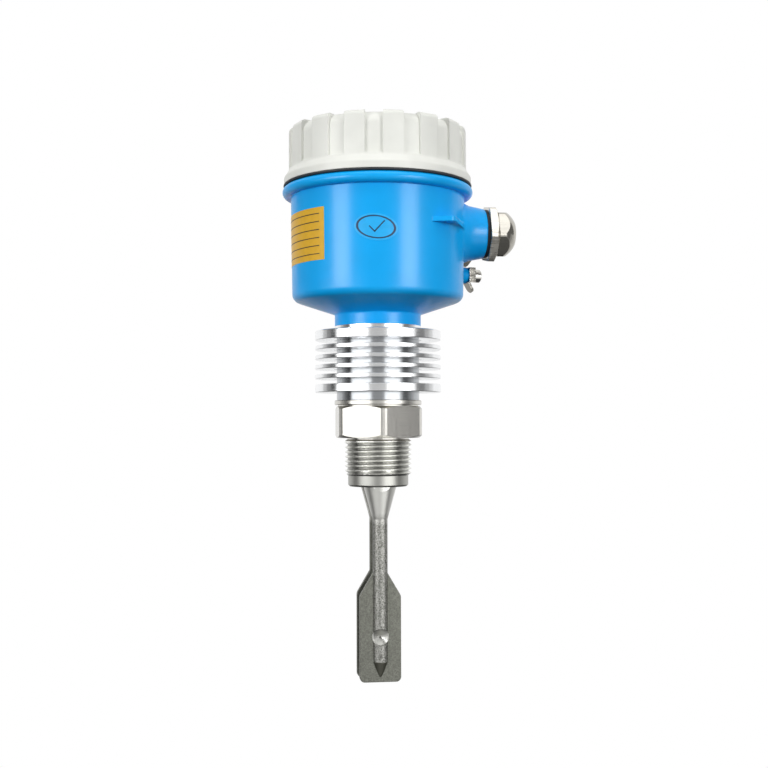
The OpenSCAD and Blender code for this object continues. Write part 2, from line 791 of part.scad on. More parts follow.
module entry_boss() {
  foot = body_r_high - boss_sink;
  rotate_extrude()
    polygon(rounded_outline([
      [0, foot, 0],
      [boss_root_r + boss_spread, foot, 0],
      [boss_root_r + boss_foot_cut, body_r_high - boss_foot_cut, 0],
      [boss_root_r, body_r_high + boss_foot_cut, 0],
      [boss_r, boss_end, boss_edge_r],
      [0, boss_end, 0]
    ]));
}

module tie_lug() {
  corner = lug_reach * [cos(lug_angle), sin(lug_angle)];
  start = body_r_low * [cos(lug_start_angle), sin(lug_start_angle)];
  hole_centre = (lug_reach - 2 * lug_t) * [cos(lug_angle), sin(lug_angle)];
  translate([0, 0, lug_z - lug_t / 2])
    linear_extrude(lug_t)
      difference() {
        polygon(rounded_outline([
          [0, 0, 0], [start.x, start.y, 0], [corner.x, corner.y, lug_t], [body_r_low, -boss_r, 0]
        ]));
        translate(hole_centre) circle(r = lug_hole_r);
      }
}

module housing() {
  color(blue_paint)
    union() {
      difference() {
        union() {
          rotate_extrude() housing_outline();
          radial(0, entry_z) entry_boss();
          radial(second_entry_angle, entry_z) entry_boss();
          radial(ground_angle, ground_z) cylinder(r = ground_boss_r, h = ground_boss_end);
          tie_lug();
        }
        translate([0, 0, floor_z]) cylinder(r = cavity_r, h = rim_top - floor_z + over);
        translate([0, 0, housing_z - over]) cylinder(r = spacer_bore_r, h = floor_up + 2 * over);
        translate([0, 0, housing_z - over]) cylinder(r = socket_r, h = socket_depth + over);
        radial(0, entry_z) cylinder(r = entry_r + fit_gap, h = boss_end + over);
        radial(second_entry_angle, entry_z) cylinder(r = entry_r + fit_gap, h = boss_end + over);
        radial(ground_angle, ground_z)
          translate([0, 0, ground_boss_end - ground_screw_depth])
            cylinder(r = ground_screw_r + fit_gap, h = ground_screw_depth + over);
        for (side = [0, 180])
          rotate([0, 0, side])
            translate([module_screw_orbit, 0, floor_z - module_screw_depth])
              cylinder(r = module_screw_r + fit_gap, h = module_screw_depth + over);
      }
      radial(180, inner_ground_z)
        difference() {
          translate([0, 0, pad_face]) cylinder(r = inner_pad_r, h = inner_pad_h + over);
          translate([0, 0, pad_face - over]) cylinder(r = ground_screw_r + fit_gap, h = inner_pad_h + over);
        }
    }
}

// Cover: fluted screw cap and its flat seal
module cover_outline() {
  difference() {
    polygon(rounded_outline([
      [0, cover_z, 0],
      [cover_rim_r, cover_z, loose_gap],
      [cover_rim_r, cover_z + cover_band_h, cover_rim_round_r],
      [lobe_r, cover_z + cover_rim_h, cover_rim_round_r],
      [lobe_r, cover_top, lobe_edge_r],
      [0, cover_top, 0]
    ]));
    translate([0, cover_z - over]) square([rim_bore_r, rim_h + loose_gap + over]);
    square([cover_space_r, cover_top - cover_top_t]);
  }
}

module flute() {
  floor_r = lobe_r - flute_depth;
  rotate([90, 0, 0])
    translate([0, 0, -flute_w / 2])
      linear_extrude(flute_w)
        difference() {
          translate([floor_r - flute_edge_r, cover_z + flute_up])
            square([flute_edge_r + 2 * flute_depth, cover_h - flute_up + over]);
          translate([0, cover_z]) square([floor_r, cover_h - flute_edge_r]);
          translate([floor_r - flute_edge_r, cover_top - flute_edge_r]) circle(r = flute_edge_r);
        }
}

module cover() {
  color(white_paint)
    difference() {
      rotate_extrude() cover_outline();
      for (i = [0:flute_count - 1]) rotate([0, 0, flute_phase + i * 360 / flute_count]) flute();
    }
}

module cover_seal() {
  color(black_rubber)
    rotate_extrude()
      union() {
        translate([rim_r + loose_gap, bead_top]) square([seal_r - seal_t / 2 - rim_r - loose_gap, seal_t]);
        translate([seal_r - seal_t / 2, bead_top + seal_t / 2]) circle(d = seal_t, $fn = 32);
      }
}

// Cable gland and blanking plug
module entry_washer() {
  ring(entry_washer_r, entry_r + fit_gap, boss_end, entry_washer_t);
}

module gland_washer() { color(black_rubber) radial(0, entry_z) entry_washer(); }
module plug_washer() { color(black_rubber) radial(second_entry_angle, entry_z) entry_washer(); }

// Hexagon on a cable entry, with one corner turned down from level
module entry_hexagon(af, start, h, corner_cut) {
  translate([0, 0, start])
    rotate([0, 0, -90 + gland_turn])
      turned_hexagon(af, h, af / 2 / cos(30) - corner_cut, lower_chamfer = false);
}

module gland_body() {
  color(nickel)
    radial(0, entry_z)
      difference() {
        union() {
          translate([0, 0, shank_start]) cylinder(r = entry_r, h = entry_washer_end - shank_start + over);
          entry_hexagon(gland_af, entry_washer_end, gland_hex_h, hex_corner_cut / 2);
          translate([0, 0, entry_washer_end])
            cylinder(r = gland_thread_r, h = gland_thread_end - entry_washer_end);
        }
        translate([0, 0, shank_start - over])
          cylinder(r = gland_bore_r, h = gland_thread_end - shank_start + 2 * over);
        translate([0, 0, grommet_start])
          cylinder(r = grommet_r + fit_gap, h = grommet_len + over);
      }
}

module gland_grommet() {
  color(black_rubber) radial(0, entry_z) ring(grommet_r, cable_r, grommet_start, grommet_len);
}

module gland_slip_ring() {
  color("DimGray")
    radial(0, entry_z) ring(gland_thread_r - loose_gap, slip_ring_bore_r, slip_ring_start, slip_ring_t);
}

module gland_nut() {
  color(nickel)
    radial(0, entry_z)
      difference() {
        intersection() {
          entry_hexagon(gland_nut_af, gland_nut_start, gland_nut_h, hex_corner_cut / 2);
          translate([0, 0, gland_dome_centre]) sphere(r = gland_dome_r);
        }
        translate([0, 0, gland_nut_start - over])
          cylinder(r = gland_thread_r + run_gap, h = gland_nut_h - gland_nut_wall + over);
        translate([0, 0, gland_nut_start]) cylinder(r = gland_mouth_r, h = gland_nut_h + over);
      }
}

module blanking_plug() {
  color(nickel)
    radial(second_entry_angle, entry_z)
      union() {
        translate([0, 0, shank_start]) cylinder(r = entry_r, h = entry_washer_end - shank_start + over);
        entry_hexagon(plug_af, entry_washer_end, plug_hex_h, hex_corner_cut / 2);
      }
}

// Outer ground terminal: folded saddle, spring washer and socket screw
module ground_saddle() {
  inner_half = ground_head_r + loose_gap;
  outer_half = inner_half + saddle_t;
  bend_lap = saddle_t * tan(tongue_angle / 2) / 2;
  color(nickel)
    radial(ground_angle, ground_z)
      union() {
        translate([0, 0, ground_boss_end])
          difference() {
            translate([-saddle_h / 2, -outer_half, 0]) cube([saddle_h, 2 * outer_half, saddle_depth]);
            translate([-saddle_h, -inner_half, saddle_t]) cube([2 * saddle_h, 2 * inner_half, saddle_depth]);
            translate([0, 0, -over]) cylinder(r = ground_screw_r + loose_gap, h = saddle_depth + 2 * over);
          }
        translate([ground_head_r + fit_gap, 0, spring_washer_start])
          rotate([0, -tongue_angle, 0])
            translate([0, 0, -saddle_t])
              linear_extrude(saddle_t)
                union() {
                  translate([-bend_lap, -tongue_w / 2])
                    square([tongue_len - tongue_w / 2 + bend_lap, tongue_w]);
                  translate([tongue_len - tongue_w / 2, 0]) circle(d = tongue_w);
                }
      }
}

module ground_spring_washer() {
  split_w = spring_washer_t;
  color(steel)
    radial(ground_angle, ground_z)
      difference() {
        ring(ground_head_r - fit_gap, ground_screw_r + fit_gap, spring_washer_start, spring_washer_t);
        translate([0, -split_w / 2, spring_washer_start - over])
          cube([ground_head_r + over, split_w, spring_washer_t + 2 * over]);
      }
}

// Socket screw with its head on the +Z side of head_z
module socket_screw(head_z, shank_len) {
  difference() {
    union() {
      translate([0, 0, head_z - shank_len]) cylinder(r = ground_screw_r, h = shank_len + over);
      chamfered_disc(ground_head_r, head_z, ground_head_h, loose_gap);
    }
    translate([0, 0, head_z + ground_head_h / 2]) hexagon(socket_af, ground_head_h);
  }
}

module ground_screw() {
  color(steel)
    radial(ground_angle, ground_z)
      socket_screw(ground_head_start, ground_head_start - ground_boss_end + ground_screw_depth - loose_gap);
}

// Electronics: potted cup, board, terminals, settings and lamps
module at_module_screws() {
  for (side = [-1, 1]) translate([side * module_screw_orbit, 0, 0]) children();
}

module electronics_cup() {
  color("DarkSlateGray")
    difference() {
      translate([0, 0, floor_z]) cylinder(r = cup_r, h = cup_h + cup_rim_h);
      translate([0, 0, cup_top]) cylinder(r = cup_r - cup_rim_wall, h = cup_rim_h + over);
      translate([0, 0, floor_z - over]) cylinder(r = spacer_bore_r, h = lead_pocket + over);
      at_module_screws()
        translate([0, 0, floor_z - over]) cylinder(r = module_screw_r + loose_gap, h = cup_h + 2 * over);
    }
}

module circuit_board() {
  color("SeaGreen")
    difference() {
      translate([0, 0, cup_top]) cylinder(r = board_r, h = board_t);
      at_module_screws()
        translate([0, 0, cup_top - over]) cylinder(r = module_screw_r + loose_gap, h = board_t + 2 * over);
    }
}

module at_terminals() {
  first = -(terminal_count - 1) * terminal_pitch / 2;
  for (i = [0:terminal_count - 1]) translate([first + i * terminal_pitch, terminal_back, 0]) children();
}

module terminal_block() {
  screw_base = board_top + terminal_h - terminal_well - terminal_screw_h;
  color("DimGray")
    difference() {
      translate([-terminal_w / 2, terminal_back - terminal_d / 2, board_top])
        cube([terminal_w, terminal_d, terminal_h]);
      at_terminals() {
        translate([0, 0, screw_base])
          cylinder(r = terminal_screw_r + fit_gap, h = terminal_screw_h + terminal_well + over);
        translate([-conductor_w / 2, -terminal_d / 2 - over, board_top + over])
          cube([conductor_w, conductor_depth + over, conductor_h]);
      }
    }
}

module slotted_head(r, z, h) {
  difference() {
    translate([0, 0, z]) cylinder(r = r, h = h);
    translate([-r - over, -slot_w / 2, z + h - slot_depth]) cube([2 * (r + over), slot_w, slot_depth + over]);
  }
}

module terminal_screws() {
  base = board_top + terminal_h - terminal_well - terminal_screw_h;
  color(nickel) at_terminals() slotted_head(terminal_screw_r, base, terminal_screw_h);
}

// Mode switch: the sliders rest at the -Y end of their slots
module mode_switch_body() {
  slot_l = slider_l + slider_travel + 2 * run_gap;
  color("Firebrick")
    difference() {
      translate([-settings_side - switch_l / 2, -settings_front - switch_w / 2, board_top])
        cube([switch_l, switch_w, switch_h]);
      for (side = [-1, 1])
        translate([
          -settings_side + side * slider_pitch / 2 - slider_w / 2 - run_gap,
          -settings_front - slot_l / 2,
          board_top + switch_h - slider_depth
        ])
          cube([slider_w + 2 * run_gap, slot_l, slider_depth + over]);
    }
}

module mode_slider(side) {
  translate([
    -settings_side + side * slider_pitch / 2 - slider_w / 2,
    -settings_front - (slider_l + slider_travel) / 2,
    board_top + switch_h - slider_depth
  ])
    cube([slider_w, slider_l, slider_depth + slider_proud]);
}

module failsafe_slider() { color("White") mode_slider(-1); }
module density_slider() { color("White") mode_slider(1); }

module delay_trimmer_body() {
  color("RoyalBlue")
    difference() {
      translate([settings_side - trimmer_w / 2, -settings_front - trimmer_w / 2, board_top])
        cube([trimmer_w, trimmer_w, trimmer_h]);
      translate([settings_side, -settings_front, board_top + trimmer_h - rotor_depth])
        cylinder(r = rotor_r + run_gap, h = rotor_depth + over);
    }
}

module delay_trimmer_rotor() {
  color("White")
    translate([settings_side, -settings_front, 0])
      slotted_head(rotor_r, board_top + trimmer_h - rotor_depth, rotor_depth + rotor_proud);
}

module led(side) {
  straight = led_h - led_r;
  translate([side * led_side, -led_front, board_top])
    union() {
      cylinder(r = led_r, h = straight);
      translate([0, 0, straight]) sphere(r = led_r);
    }
}

module power_led() { color("LimeGreen") led(-1); }
module switching_led() { color("OrangeRed") led(1); }

module module_screws() {
  shank = cup_h + board_t + module_screw_depth - loose_gap;
  color(nickel)
    at_module_screws()
      union() {
        translate([0, 0, board_top - shank]) cylinder(r = module_screw_r, h = shank + over / 2);
        slotted_head(module_head_r, board_top, module_head_h);
      }
}

// Inner ground terminal on the compartment's wall, with its head towards the main axis
module inner_ground_washer() {
  color(nickel)
    radial(180, inner_ground_z)
      ring(inner_pad_r - loose_gap, ground_screw_r + fit_gap, pad_face - clamp_washer_t, clamp_washer_t);
}

module inner_ground_screw() {
  shank = clamp_washer_t + inner_pad_h - loose_gap;
  color(steel)
    radial(180, inner_ground_z)
      translate([0, 0, pad_face - clamp_washer_t]) mirror([0, 0, 1]) socket_screw(0, shank);
}

process_nipple();
fork();
lower_insulator();
drive_electrode();
drive_piezo();
common_electrode();
pickup_piezo();
pickup_electrode();
upper_insulator();
pressure_washer();
clamp_nut();
sensor_leads();
cooling_spacer();
lower_spacer_seal();
upper_spacer_seal();
housing();
cover_seal();
cover();
gland_washer();
gland_body();
gland_grommet();
gland_slip_ring();
gland_nut();
plug_washer();
blanking_plug();
ground_saddle();
ground_spring_washer();
ground_screw();
electronics_cup();
circuit_board();
terminal_block();
terminal_screws();
mode_switch_body();
failsafe_slider();
density_slider();
delay_trimmer_body();
delay_trimmer_rotor();
power_led();
switching_led();
module_screws();
inner_ground_washer();
inner_ground_screw();
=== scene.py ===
"""Looks of a tuning fork level switch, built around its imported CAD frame.

Lengths are in metres, in the CAD frame: the origin is at the underside of the hexagon, +Z points
up to the cover, and +X runs along the cable gland.
"""

import json
import math
from collections import namedtuple

import bmesh
import bpy
from mathutils import Matrix, Vector
from mathutils.bvhtree import BVHTree

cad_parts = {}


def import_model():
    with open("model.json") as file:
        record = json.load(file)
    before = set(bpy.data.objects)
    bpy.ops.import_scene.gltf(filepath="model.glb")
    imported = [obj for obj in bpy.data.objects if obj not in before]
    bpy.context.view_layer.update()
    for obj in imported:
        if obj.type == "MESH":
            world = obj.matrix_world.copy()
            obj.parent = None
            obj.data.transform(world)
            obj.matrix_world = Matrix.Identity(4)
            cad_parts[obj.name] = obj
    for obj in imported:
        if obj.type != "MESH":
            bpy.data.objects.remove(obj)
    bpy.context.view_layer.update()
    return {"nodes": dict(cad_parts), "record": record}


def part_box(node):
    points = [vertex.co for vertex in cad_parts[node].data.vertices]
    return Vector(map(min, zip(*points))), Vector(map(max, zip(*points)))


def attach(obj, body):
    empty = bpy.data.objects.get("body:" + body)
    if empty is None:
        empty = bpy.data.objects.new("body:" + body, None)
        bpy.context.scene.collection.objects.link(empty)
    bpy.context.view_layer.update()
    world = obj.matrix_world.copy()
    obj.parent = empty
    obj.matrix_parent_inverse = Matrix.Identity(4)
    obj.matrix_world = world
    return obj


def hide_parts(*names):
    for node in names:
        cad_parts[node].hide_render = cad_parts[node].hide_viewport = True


MM = 0.001
UM = 0.000001
ROOT_BODY = "switch_body"
SHARP_ANGLE = math.radians(16)
WELD_DISTANCE = 1e-7
WHITE = (1, 1, 1, 1)

# Camera, from the photograph's perspective. Directions are turned from the -Y side, to the right.
VIEW_AZIMUTH = -7.0
VIEW_DISTANCE = 0.602
VIEW_HEIGHT = 0.00725
VIEW_TARGET_RIGHT = 0.003
VIEW_TARGET_HEIGHT = 0.0268
VIEW_ROLL = -0.15
LENS_MM = 56.5
SENSOR_MM = 36.0

# Threads that show: pitch and depth of the cut, and the radius where no mount states it
PROCESS_PITCH = 2.309 * MM
PROCESS_DEPTH = 1.45 * MM
GLAND_PITCH = 1.5 * MM
GLAND_DEPTH = 0.85 * MM
GLAND_THREAD_R = 8.8 * MM
GLAND_GAP = 0.8 * MM
COVER_PITCH = 2.0 * MM
COVER_DEPTH = 1.1 * MM
RIM_R = 40.6 * MM

# Shape of a thread's cut: the flats at crest and root and the lip past the crest, in pitches, the
# points in a turn, and the turns in which the cut runs out, with the share of its depth lost there
THREAD_FLAT = 0.13
THREAD_LIP = 0.05
THREAD_STEPS = 72
RUN_OUT_TURNS = 0.5
RUN_OUT_SHARE = 0.98

# Materials of threaded copies that differ from their node's own slot
THREADED_LOOKS = {"process_nipple": "threaded_stainless", "gland_body": "satin_nickel"}

# Sheets on the housing: thickness of film and ink, how far out the rays onto the skin start, and how
# closely bars, strokes and ovals follow it
FILM = 0.1 * MM
INK = 0.03 * MM
SKIN_CLEAR = 80 * MM
BAR_STEP = 1.5 * MM
STROKE_POINTS = 5
OVAL_POINTS = 96
OVAL_RINGS = 8

# Label on the housing's side: a blank panel with ruled lines
LABEL_WIDTH = 44 * MM
LABEL_HEIGHT = 25.1 * MM
LABEL_MIDDLE = 97.3 * MM
LABEL_DIRECTION = math.radians(-162.2)
LABEL_MARGIN = 3 * MM
LABEL_RULES = 6
RULE_WIDTH = 0.45 * MM

# Oval sticker on the housing's front: an outline and a tick, whose corners are in half heights
STAMP_WIDTH = 18.9 * MM
STAMP_HEIGHT = 10.9 * MM
STAMP_HALO = 0.9 * MM
STAMP_MIDDLE = 98.8 * MM
STAMP_DIRECTION = math.radians(-98)
STAMP_TILT = math.radians(-7)
STAMP_LINE = 0.6 * MM
STAMP_TICK = ((-0.55, 0.05), (-0.12, -0.4), (0.72, 0.5))

# Zones of the fork's casting, from its middle plane and up from its tips
FORK_FACE = 7.6 * MM
FORK_FACE_BLEND = 0.2 * MM
FORK_BORE_FACE = 5.3 * MM
FORK_SPOT_UP = 22.1 * MM
FORK_SPOT_R = 4.15 * MM
# Height of the ridges' downward-facing points, which carry painted shade
FORK_SHADED_POINT = 10 * MM
FORK_ROOT_UP = 80 * MM
FORK_ROOT_BLEND = 3 * MM
FORK_HEAD_UP = 95.6 * MM

# Skin of the fork's casting: roughness, how much smoother a tuning spot is, and the grain's depth, with
# the grain's share beside the pits and the shares of depth on paddles and on polished zones
FORK_ROUGHNESS = 0.46
FORK_ROOT_ROUGHNESS = 0.34
FORK_SPOT_POLISH = 0.16
FORK_GRAIN = 0.24 * MM
FORK_GRAIN_SHARE = 0.6
FORK_PADDLE_DEPTH = 0.35
FORK_POLISHED_DEPTH = 0.04

# Finishes: the part of a noise's range that is spread out, the radius by which edges look rounded, and
# the marks that tools leave
NOISE_SPAN = (0.3, 0.7)
SMEAR_SPAN = (0.35, 0.65)
SPECK_SPAN = (0.35, 0.68)
TURNED_EDGE = 0.2 * MM
MILLED_EDGE = 0.3 * MM
CAST_EDGE = 0.4 * MM
MOULDED_EDGE = 0.15 * MM
EDGE_SAMPLES = 4
MILL_STRETCH = (0.15, 0.15, 2.5)
MILL_DEPTH = 4 * UM
FILM_GRAIN = 10 * UM
ENAMEL_COAT = 0.42
ENAMEL_SPECULAR = 0.06

# A band of a turned piece with painted shade in its grooves: its heights, the radii where the painted shade
# is darkest and where the band has its full colour, that colour, and the least roughness. Past its crest it
# reaches out by BAND_MARGIN, and GROOVE_SHADE is how far the painted shade darkens the colour at the roots.
PaintedShadeBand = namedtuple("PaintedShadeBand", "low high root_r crest_r colour roughness")
BAND_MARGIN = 0.4 * MM
GROOVE_SHADE = 0.4

# Stage: the floor, and the world's light on the object
FLOOR_Z = -0.36
FLOOR_HALF = 4.0
FLOOR_GREY = (0.35, 0.35, 0.35, 1)
AMBIENT = 0.53

# The floor's glow grows over these distances: for reflections, away from the origin and toward the
# camera; for the camera, away from the origin, from the share at the foot, where shadows fall. The
# unseen share takes the place of the floor's grey for all rays but the camera's.
FLOOR_FAR = (0.6, 1.4)
FLOOR_AHEAD = (0.12, 0.4)
FLOOR_FOOT = (0.2, 0.6)
FLOOR_FOOT_SHARE = 0.5
FLOOR_UNSEEN_SHARE = 0.8

# Softboxes: directions in degrees to the camera's right, distances from the main axis, and powers in watts
LAMP_TARGET = 0.08
SOFTBOXES = {
    "key_box": {"azimuth": -47, "distance": 0.85, "height": 0.14, "width": 0.33, "tall": 0.28, "power": 3.4},
    "fill_box": {"azimuth": 41, "distance": 0.85, "height": 0.14, "width": 0.33, "tall": 0.28, "power": 3.3},
    "top_box": {"azimuth": 10, "distance": 0.35, "height": 0.95, "width": 0.7, "tall": 0.7, "power": 2.0},
}

# Studio cards that only reflections see: directions from and to, in degrees to the camera's right,
# heights from and to, and brightness. The paint reflects what is above CARD_SPLIT, the metal what is below.
CARD_DISTANCE = 0.6
CARD_POINTS = 12
CARD_SPLIT = 0.115
CARD_LOW = -0.5
CARD_HIGH = 0.42
PANEL_LOW = -0.008
FORK_ZONE = -0.065
CARDS = {
    "panel_left": (-76, -19, PANEL_LOW, CARD_SPLIT, 2.4),
    "panel_right": (19, 62, PANEL_LOW, CARD_SPLIT, 2.4),
    "card_left_thread": (-76, -26, FORK_ZONE, PANEL_LOW, 0.15),
    "card_right_thread": (30, 62, FORK_ZONE, PANEL_LOW, 0.7),
    "card_right_fork": (20, 62, CARD_LOW, FORK_ZONE, 1.8),
    "card_front": (-16, 16, CARD_LOW, CARD_SPLIT, 0.55),
    "card_left_dark": (-92, -79, CARD_LOW, CARD_SPLIT, 0.06),
    "card_left_grey": (-104, -92, CARD_LOW, CARD_SPLIT, 0.25),
    "card_left_pale": (-116, -104, CARD_LOW, CARD_SPLIT, 0.55),
    "card_right_dark": (70, 92, CARD_LOW, CARD_SPLIT, 0.2),
    "card_right_grey": (92, 104, CARD_LOW, CARD_SPLIT, 0.45),
    "card_right_pale": (104, 116, CARD_LOW, CARD_SPLIT, 0.7),
    "card_front_high": (-34, 28, CARD_SPLIT, CARD_HIGH, 0.2),
    "card_left_high": (-130, -60, CARD_SPLIT, CARD_HIGH, 0.2),
    "card_right_high": (54, 112, CARD_SPLIT, CARD_HIGH, 0.2),
}


# Node trees

class Graph:
    """A node tree that is filled by short calls."""

    def __init__(self, owner):
        owner.use_nodes = True
        self.tree = owner.node_tree

    def add(self, kind, props=None, **sockets):
        """A new node. A socket goes by its name, or by its number as in _0.

        Its value is a number, a tuple, or another node's output to link.
        """
        made = self.tree.nodes.new(kind)
        for key, value in (props or {}).items():
            setattr(made, key, value)
        for key, value in sockets.items():
            self.feed(made.inputs[int(key[1:]) if key[0] == "_" else key], value)
        return made

    def feed(self, socket, value):
        if isinstance(value, bpy.types.NodeSocket):
            self.tree.links.new(value, socket)
        else:
            socket.default_value = value

    def math(self, operation, a, b=0.0):
        return self.add("ShaderNodeMath", {"operation": operation}, _0=a, _1=b).outputs[0]

    def vector_math(self, operation, a, b=(0, 0, 0)):
        return self.add("ShaderNodeVectorMath", {"operation": operation}, _0=a, _1=b).outputs

    def spread(self, value, low, high, from_low=0.0, from_high=1.0):
        """Maps a value's range onto low to high, clamped."""
        ends = {"From Min": from_low, "From Max": from_high, "To Min": low, "To Max": high}
        return self.add("ShaderNodeMapRange", Value=value, **ends).outputs["Result"]

    def mix(self, factor, a, b):
        return self.add("ShaderNodeMix", {"data_type": "RGBA"}, Factor=factor, A=a, B=b).outputs["Result"]


class Finish(Graph):
    """A material's node tree, with its Principled shader."""

    def __init__(self, name):
        self.material = bpy.data.materials.new(name)
        super().__init__(self.material)
        self.shader = self.tree.nodes["Principled BSDF"]
        self.place = self.add("ShaderNodeTexCoord").outputs["Object"]

    def set(self, **values):
        """Constant or linked values on the shader's own sockets; an underscore stands for a space."""
        for key, value in values.items():
            self.feed(self.shader.inputs[key.replace("_", " ")], value)

    def show(self, shader):
        """Puts another shader on the surface."""
        self.feed(self.tree.nodes["Material Output"].inputs["Surface"], shader.outputs[0])

    def noise(self, scale, detail=2.0, roughness=0.5, where=None):
        made = self.add("ShaderNodeTexNoise", Scale=scale, Detail=detail, Roughness=roughness)
        self.feed(made.inputs["Vector"], where or self.place)
        return made.outputs["Fac"]

    def mottled(self, colour, noise, dark, light=1.0, span=NOISE_SPAN):
        """A colour that a noise turns darker and lighter."""
        return self.mix(self.spread(noise, 0, 1, *span), shade(colour, dark), shade(colour, light))

    def varied(self, value, noise, share):
        """A value that a noise lowers and raises by a share."""
        return self.spread(noise, value * (1 - share), value * (1 + share), *NOISE_SPAN)

    def bump(self, height, distance, below=None):
        made = self.add("ShaderNodeBump", Height=height, Distance=distance, Strength=1.0)
        if below is not None:
            self.feed(made.inputs["Normal"], below)
        return made.outputs["Normal"]

    def soft_edges(self, radius):
        return self.add("ShaderNodeBevel", {"samples": EDGE_SAMPLES}, Radius=radius).outputs["Normal"]


def rgba(red, green, blue):
    """Linear colour of an sRGB colour that is given in 0 to 255."""
    def linear(value):
        share = value / 255
        return share / 12.92 if share <= 0.04045 else ((share + 0.055) / 1.055) ** 2.4
    return (linear(red), linear(green), linear(blue), 1.0)


def shade(colour, factor):
    """A colour made darker or lighter."""
    return tuple(min(1.0, channel * factor) for channel in colour[:3]) + (1.0,)


# Materials

def enamel(name, colour, roughness, gloss, peel, edge):
    """Sprayed and baked enamel: slight mottling, orange peel and a clear gloss."""
    look = Finish(name)
    look.set(Base_Color=look.mottled(colour, look.noise(scale=70, detail=3), dark=0.96, light=1.03))
    look.set(Roughness=look.varied(roughness, look.noise(scale=240, detail=4), share=0.15))
    skin = look.bump(look.noise(scale=900), peel, below=look.soft_edges(edge))
    look.set(Normal=skin, Coat_Normal=skin, Coat_Weight=ENAMEL_COAT, Coat_Roughness=gloss)
    look.set(Specular_IOR_Level=ENAMEL_SPECULAR)
    return look.material


def turned(name, colour, roughness, groove, shade_band=None):
    """Metal from the lathe: fine rings round the main axis, a stretched highlight, and a band of painted
    shade if given.
    """
    look = Finish(name)
    flat = look.vector_math("MULTIPLY", look.place, (1, 1, 0))["Vector"]
    radius = look.vector_math("LENGTH", flat)["Value"]
    height = look.add("ShaderNodeSeparateXYZ", _0=look.place).outputs["Z"]
    rings = look.add("ShaderNodeCombineXYZ", X=radius, Y=height).outputs[0]
    feed_marks = look.noise(scale=2600, where=rings)
    tone = look.mottled(colour, look.noise(scale=45, detail=4), dark=0.93, span=SMEAR_SPAN)
    polish = look.varied(roughness, feed_marks, share=0.25)
    if shade_band:
        above = look.math("GREATER_THAN", height, shade_band.low)
        below = look.math("LESS_THAN", height, shade_band.high)
        within = look.math("LESS_THAN", radius, shade_band.crest_r + BAND_MARGIN)
        zone = look.math("MULTIPLY", look.math("MULTIPLY", above, below), within)
        # Painted shade: the band darkens toward the roots of its grooves, where less light falls.
        outward = look.spread(radius, 0, 1, shade_band.root_r, shade_band.crest_r)
        tone = look.mix(zone, tone, look.mix(outward, shade(shade_band.colour, GROOVE_SHADE), shade_band.colour))
        polish = look.math("MAXIMUM", polish, look.math("MULTIPLY", zone, shade_band.roughness))
    look.set(Base_Color=tone, Roughness=polish)
    look.set(Normal=look.bump(feed_marks, groove, below=look.soft_edges(TURNED_EDGE)))
    tangent = look.add("ShaderNodeTangent", {"direction_type": "RADIAL", "axis": "Z"}).outputs[0]
    look.set(Metallic=1.0, Anisotropic=0.4, Tangent=tangent)
    return look.material


def milled(name, colour, roughness):
    """Bright milled or plated metal with faint marks and smears."""
    look = Finish(name)
    stretched = look.add("ShaderNodeMapping", Vector=look.place, Scale=MILL_STRETCH).outputs[0]
    marks = look.noise(scale=700, detail=3, where=stretched)
    look.set(Base_Color=look.mottled(colour, look.noise(scale=60, detail=4), dark=0.92, span=SMEAR_SPAN))
    look.set(Roughness=look.varied(roughness, marks, share=0.3), Metallic=1.0)
    look.set(Normal=look.bump(marks, MILL_DEPTH, below=look.soft_edges(MILLED_EDGE)))
    return look.material


def cast_fork(name, tip):
    """Investment casting: grainy ridges, smoother paddles, satin roots, polished tuning spots and painted
    shade on the ridges' points.
    """
    look = Finish(name)
    place = look.add("ShaderNodeSeparateXYZ", _0=look.place).outputs
    up = look.math("SUBTRACT", place["Z"], tip)
    out = look.math("ABSOLUTE", place["Y"])
    ridge = look.spread(out, 0, 1, FORK_FACE, FORK_FACE + FORK_FACE_BLEND)
    root = look.spread(up, 0, 1, FORK_ROOT_UP - FORK_ROOT_BLEND, FORK_ROOT_UP + FORK_ROOT_BLEND)
    head = look.math("GREATER_THAN", up, FORK_HEAD_UP)
    point = look.math("MULTIPLY", ridge, look.math("LESS_THAN", up, FORK_SHADED_POINT))
    over_spot = look.math("SUBTRACT", up, FORK_SPOT_UP)
    from_spot = look.add("ShaderNodeCombineXYZ", X=place["X"], Z=over_spot).outputs[0]
    in_circle = look.math("LESS_THAN", look.vector_math("LENGTH", from_spot)["Value"], FORK_SPOT_R)
    spot = look.math("MULTIPLY", in_circle, look.math("GREATER_THAN", out, FORK_BORE_FACE))

    grain = look.noise(scale=1500, detail=4, roughness=0.65)
    speck = look.spread(grain, 0, 1, *SPECK_SPAN)
    paddle_tone = look.mix(speck, rgba(98, 99, 92), rgba(130, 131, 123))
    ridge_tone = look.mix(speck, rgba(82, 82, 77), rgba(184, 184, 179))
    tone = look.mix(ridge, paddle_tone, ridge_tone)
    # Painted shade: the ridges' downward-facing points are darker, as they face away from the light.
    tone = look.mix(point, tone, rgba(112, 112, 102))
    tone = look.mix(root, tone, rgba(214, 214, 209))
    tone = look.mix(head, tone, rgba(172, 172, 167))
    look.set(Base_Color=look.mix(spot, tone, rgba(180, 180, 175)), Metallic=1.0)

    roughness = look.spread(root, FORK_ROUGHNESS, FORK_ROOT_ROUGHNESS)
    look.set(Roughness=look.math("SUBTRACT", roughness, look.math("MULTIPLY", spot, FORK_SPOT_POLISH)))
    grains = look.math("MULTIPLY", grain, FORK_GRAIN_SHARE)
    pits = look.math("MULTIPLY", look.noise(scale=520, detail=3), 1 - FORK_GRAIN_SHARE)
    polished = look.spread(look.math("MAXIMUM", root, spot), 1.0, FORK_POLISHED_DEPTH)
    depth = look.math("MULTIPLY", look.spread(ridge, FORK_PADDLE_DEPTH, 1.0), polished)
    relief = look.math("MULTIPLY", look.math("ADD", grains, pits), depth)
    look.set(Normal=look.bump(relief, FORK_GRAIN, below=look.soft_edges(CAST_EDGE)))
    return look.material


